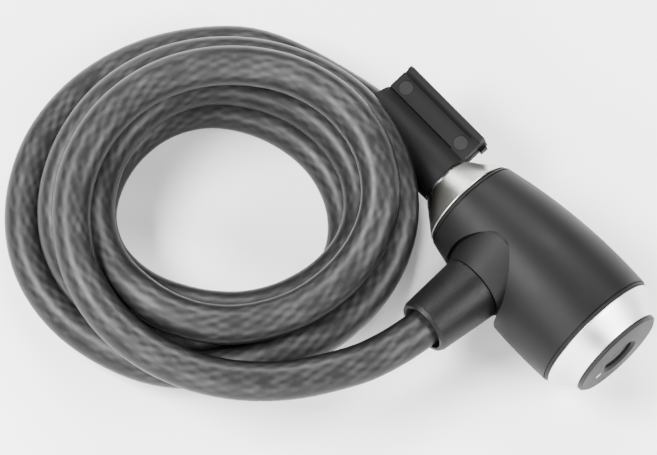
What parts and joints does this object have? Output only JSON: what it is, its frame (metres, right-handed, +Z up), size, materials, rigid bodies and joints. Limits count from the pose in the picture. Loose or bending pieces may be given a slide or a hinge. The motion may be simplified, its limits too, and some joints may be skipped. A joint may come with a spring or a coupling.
{
  "type": "cable lock",
  "caption": "Bicycle cable lock: braided steel cable in smoke vinyl, T-shaped keyed lock head, and a clip-on carrying bracket.",
  "frame": {"origin": "under the middle of the lock head, on the surface that it lies on", "axes": "+X along the lock axis towards the key face, the cable boot towards -Y, +Z up"},
  "size_m": [0.1818, 0.1463, 0.0481],
  "materials": {
    "soft_black": "soft-touch matt over-moulding",
    "boot_plastic": "fine spark-eroded grain",
    "bracket_plastic": "matt moulded nylon",
    "screw_cap": "black-oxide screws with flat heads",
    "nickel_trim": "nickel plate, lightly turned",
    "satin_trim": "bright satin, turned",
    "face_grey": "satin dark grey",
    "seal_rubber": "matt",
    "case_metal": "as machined",
    "hardened_steel": "ground",
    "fastener_steel": "zinc plated",
    "brass_works": "machined",
    "cable_vinyl": "smoke-tinted clear vinyl over braided steel"
  },
  "bodies": {
    "cable_side": {"locking_plug": "hardened_steel", "bracket_upper_jaw": "bracket_plastic", "bracket_lower_jaw": "bracket_plastic", "bracket_liner": "seal_rubber", "bracket_screws": "screw_cap", "bracket_nuts": "fastener_steel", "cable_coil": "cable_vinyl", "cable_plug_lead": "cable_vinyl"},
    "lock_head": {"rear_collar": "nickel_trim", "rear_seal": "seal_rubber", "housing_shell": "soft_black", "front_seal": "seal_rubber", "front_bezel": "satin_trim", "face_plate": "face_grey", "lock_case": "case_metal", "cylinder_body": "brass_works", "cylinder_pin": "hardened_steel", "bolt_cover": "case_metal", "bolt_spring": "hardened_steel", "boot_ferrule": "hardened_steel", "anchor_pin": "hardened_steel", "boot": "boot_plastic", "cable_boot_lead": "cable_vinyl"},
    "key_cylinder": {"key_rotor": "brass_works", "key_disc_1": "brass_works", "key_disc_2": "brass_works", "key_disc_3": "brass_works", "key_disc_4": "brass_works", "key_disc_5": "brass_works", "key_disc_6": "brass_works", "key_disc_7": "brass_works", "disc_spacer_1": "brass_works", "disc_spacer_2": "brass_works", "disc_spacer_3": "brass_works", "disc_spacer_4": "brass_works", "disc_spacer_5": "brass_works", "disc_spacer_6": "brass_works", "keyway_guard": "hardened_steel", "sidebar": "hardened_steel", "locking_cam": "hardened_steel", "rotor_clip": "hardened_steel"},
    "bolt": {"lock_bolt": "hardened_steel"}
  },
  "joints": [
    {"name": "head_release", "type": "slide", "parent": "cable_side", "child": "lock_head", "axis": [1, 0, 0], "range_m": [0, 0.03]},
    {"name": "key_turn", "type": "hinge", "parent": "lock_head", "child": "key_cylinder", "pos_m": [-0.02865, 0.00927, 0.02111], "axis": [-1, 0, 0], "range_deg": [0, 90]},
    {"name": "bolt_slide", "type": "slide", "parent": "lock_head", "child": "bolt", "axis": [0, -0.1045, -0.9945], "range_m": [0, 0.0026], "deforming": ["bolt_spring"]}
  ],
  "couplings": [
    {"joint": "bolt_slide", "follows": "key_turn", "m_per_rad": 0.001655}
  ]
}
